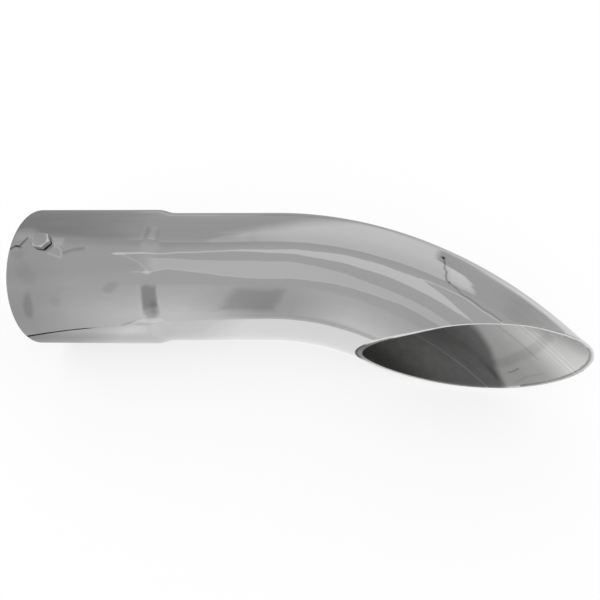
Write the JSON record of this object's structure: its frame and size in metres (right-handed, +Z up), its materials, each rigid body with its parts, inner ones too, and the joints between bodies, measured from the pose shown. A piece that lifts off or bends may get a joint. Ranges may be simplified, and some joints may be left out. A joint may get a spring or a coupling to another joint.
{
  "type": "exhaust tip",
  "caption": "Curved chromed exhaust tip with a slip-on socket, a hex clamping bolt and a slanted outlet.",
  "frame": {"origin": "centre of the socket's mouth, on the inlet axis", "axes": "+X along the inlet axis into the tip, -Y the side that the outlet opens towards, +Z up from the side that the tip lies on, on which side the bolt stands"},
  "size_m": [0.2276, 0.0726, 0.0629],
  "materials": {
    "chromed_steel": "polished outside with small dents and scuffs, duller and streaked inside",
    "bolt_steel": "bright zinc"
  },
  "bodies": {
    "tube": {"tip_tube": "chromed_steel"},
    "bolt": {"set_bolt": "bolt_steel"}
  },
  "joints": [
    {"name": "bolt_travel", "type": "slide", "parent": "tube", "child": "bolt", "axis": [0, -0.1392, 0.9903], "range_m": [-0.00025, 0.0015]}
  ]
}
